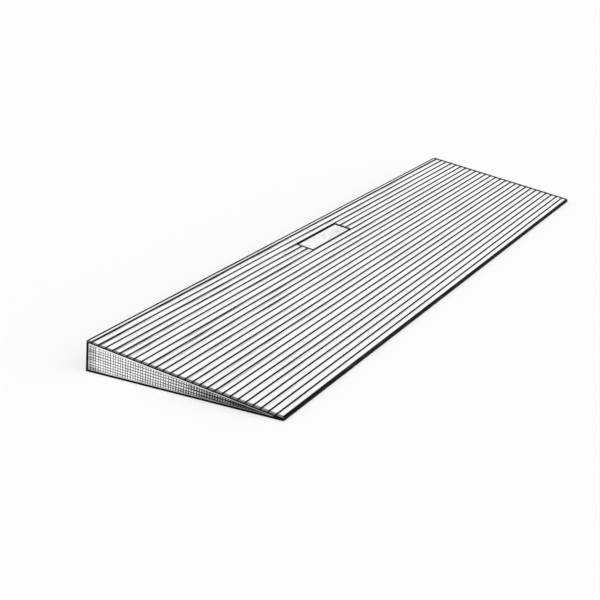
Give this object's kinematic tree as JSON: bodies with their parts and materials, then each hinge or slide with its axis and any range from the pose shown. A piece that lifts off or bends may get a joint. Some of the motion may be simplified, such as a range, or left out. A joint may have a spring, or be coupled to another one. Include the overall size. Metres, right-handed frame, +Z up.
{
  "type": "threshold ramp",
  "caption": "Long low rubber wedge with a ribbed tread, laid on the floor against a door sill so that wheels can roll over it; blank sunk plate, stuck down with tape.",
  "frame": {"origin": "on the floor, under the middle of the ramp's rectangular footprint", "axes": "+X along the sill (the ramp's length), +Y from the toe to the tall heel, +Z up"},
  "size_m": [0.9, 0.2, 0.03],
  "materials": {
    "black_rubber": "moulded sheet rubber, matt black",
    "wear_strip": "pale rubber strip, matt",
    "core_rubber": "grey rubber with a crossed mould texture at its ends",
    "name_plate": "plain pale plate, satin",
    "plate_pad": "adhesive foam pad",
    "mounting_tape": "double-sided foam tape",
    "release_liner": "smooth coated film"
  },
  "bodies": {
    "root": {"tread_sheet": "black_rubber", "wedge_core": "core_rubber", "base_sheet": "black_rubber", "heel_sheet": "black_rubber", "wear_strip_01": "wear_strip", "wear_strip_02": "wear_strip", "wear_strip_03": "wear_strip", "wear_strip_04": "wear_strip", "wear_strip_05": "wear_strip", "wear_strip_06": "wear_strip", "wear_strip_07": "wear_strip", "wear_strip_08": "wear_strip", "wear_strip_09": "wear_strip", "wear_strip_10": "wear_strip", "wear_strip_11": "wear_strip", "wear_strip_12": "wear_strip", "wear_strip_13": "wear_strip", "wear_strip_14": "wear_strip", "wear_strip_15": "wear_strip", "wear_strip_16": "wear_strip", "wear_strip_17": "wear_strip", "wear_strip_18": "wear_strip", "wear_strip_19": "wear_strip", "wear_strip_20": "wear_strip", "wear_strip_21": "wear_strip", "wear_strip_22_left": "wear_strip", "wear_strip_22_right": "wear_strip", "wear_strip_23_left": "wear_strip", "wear_strip_23_right": "wear_strip", "wear_strip_24_left": "wear_strip", "wear_strip_24_right": "wear_strip", "wear_strip_25": "wear_strip", "wear_strip_26": "wear_strip", "wear_strip_27": "wear_strip", "name_plate": "name_plate", "plate_pad": "plate_pad", "mounting_tape_toe": "mounting_tape", "mounting_tape_heel": "mounting_tape", "release_liner_toe": "release_liner", "release_liner_heel": "release_liner"}
  },
  "joints": []
}
